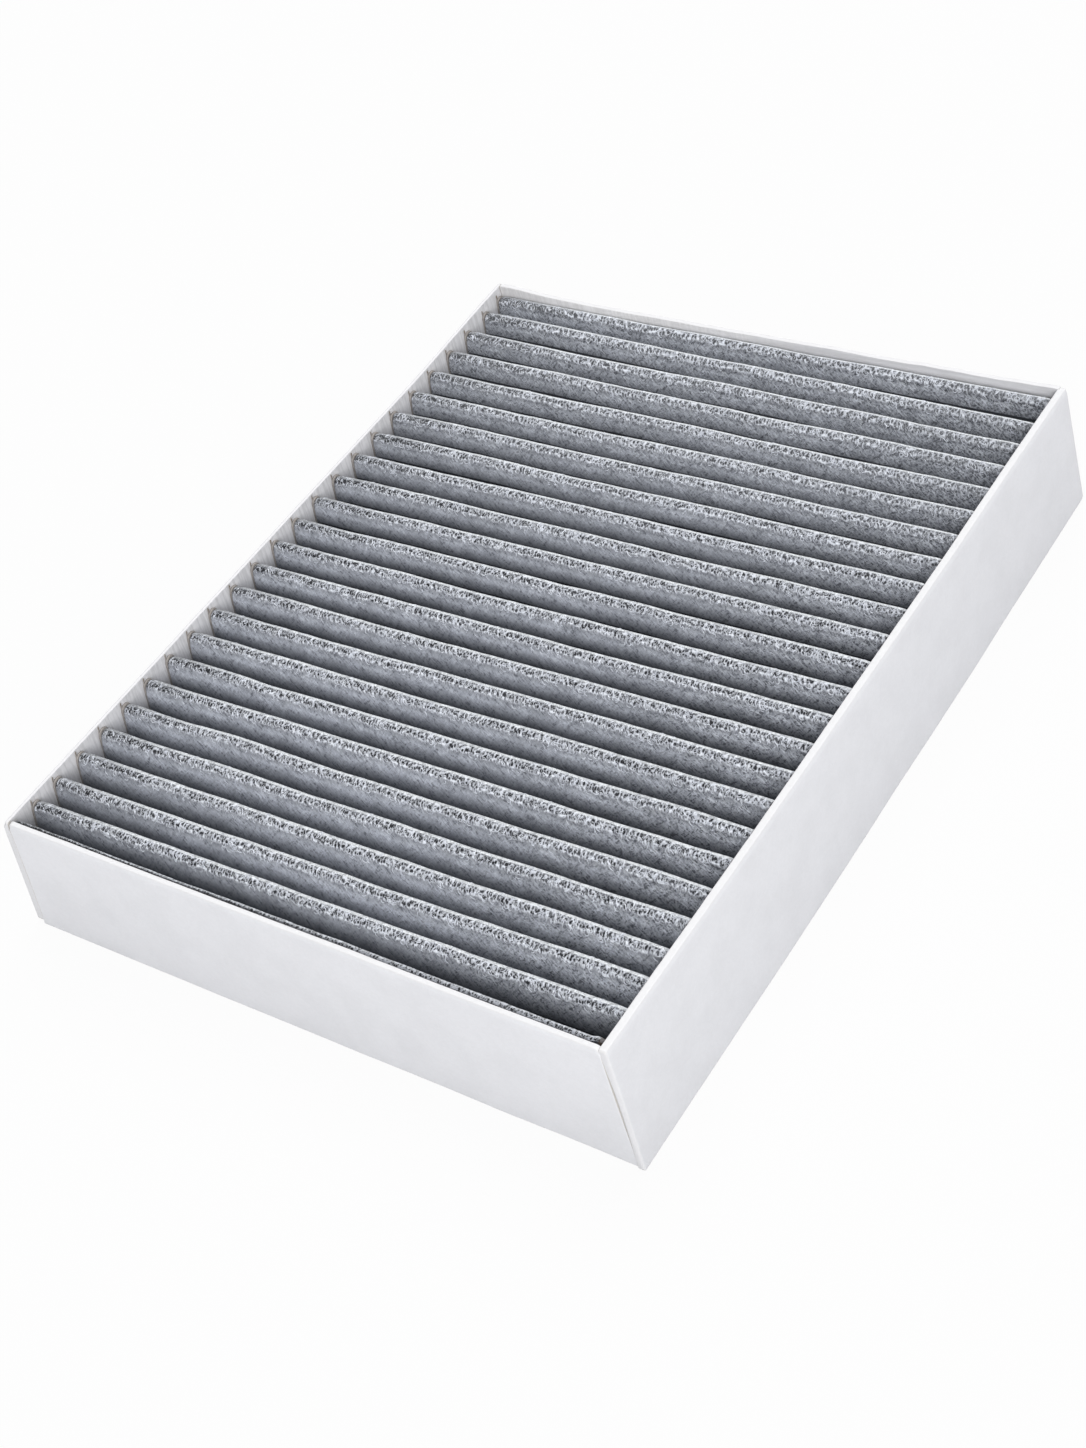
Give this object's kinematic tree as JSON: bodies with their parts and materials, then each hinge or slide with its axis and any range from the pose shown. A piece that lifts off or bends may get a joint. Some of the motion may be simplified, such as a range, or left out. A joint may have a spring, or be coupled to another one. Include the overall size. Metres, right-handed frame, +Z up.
{
  "type": "cabin air filter",
  "caption": "Flat rectangular air filter: a deeply pleated grey carbon medium glued inside a low frame of four stiff white nonwoven bands, open above and below.",
  "frame": {"origin": "centre of the base, midway between the outer faces of the bands", "axes": "+X across the filter along the folds, +Y along the filter from the front end to the rear end, +Z up through the pleats"},
  "size_m": [0.195, 0.25, 0.04],
  "materials": {
    "carbon_medium": "fibrous grey carbon-laden nonwoven, darker in the valleys",
    "nonwoven_band": "smooth calendered white nonwoven, matt",
    "hot_melt": "satin beige hot melt"
  },
  "bodies": {
    "root": {"pleated_medium": "carbon_medium", "left_side_band": "nonwoven_band", "right_side_band": "nonwoven_band", "front_end_band": "nonwoven_band", "rear_end_band": "nonwoven_band", "left_pleat_glue": "hot_melt", "right_pleat_glue": "hot_melt", "front_glue_strip": "hot_melt", "rear_glue_strip": "hot_melt"}
  },
  "joints": []
}
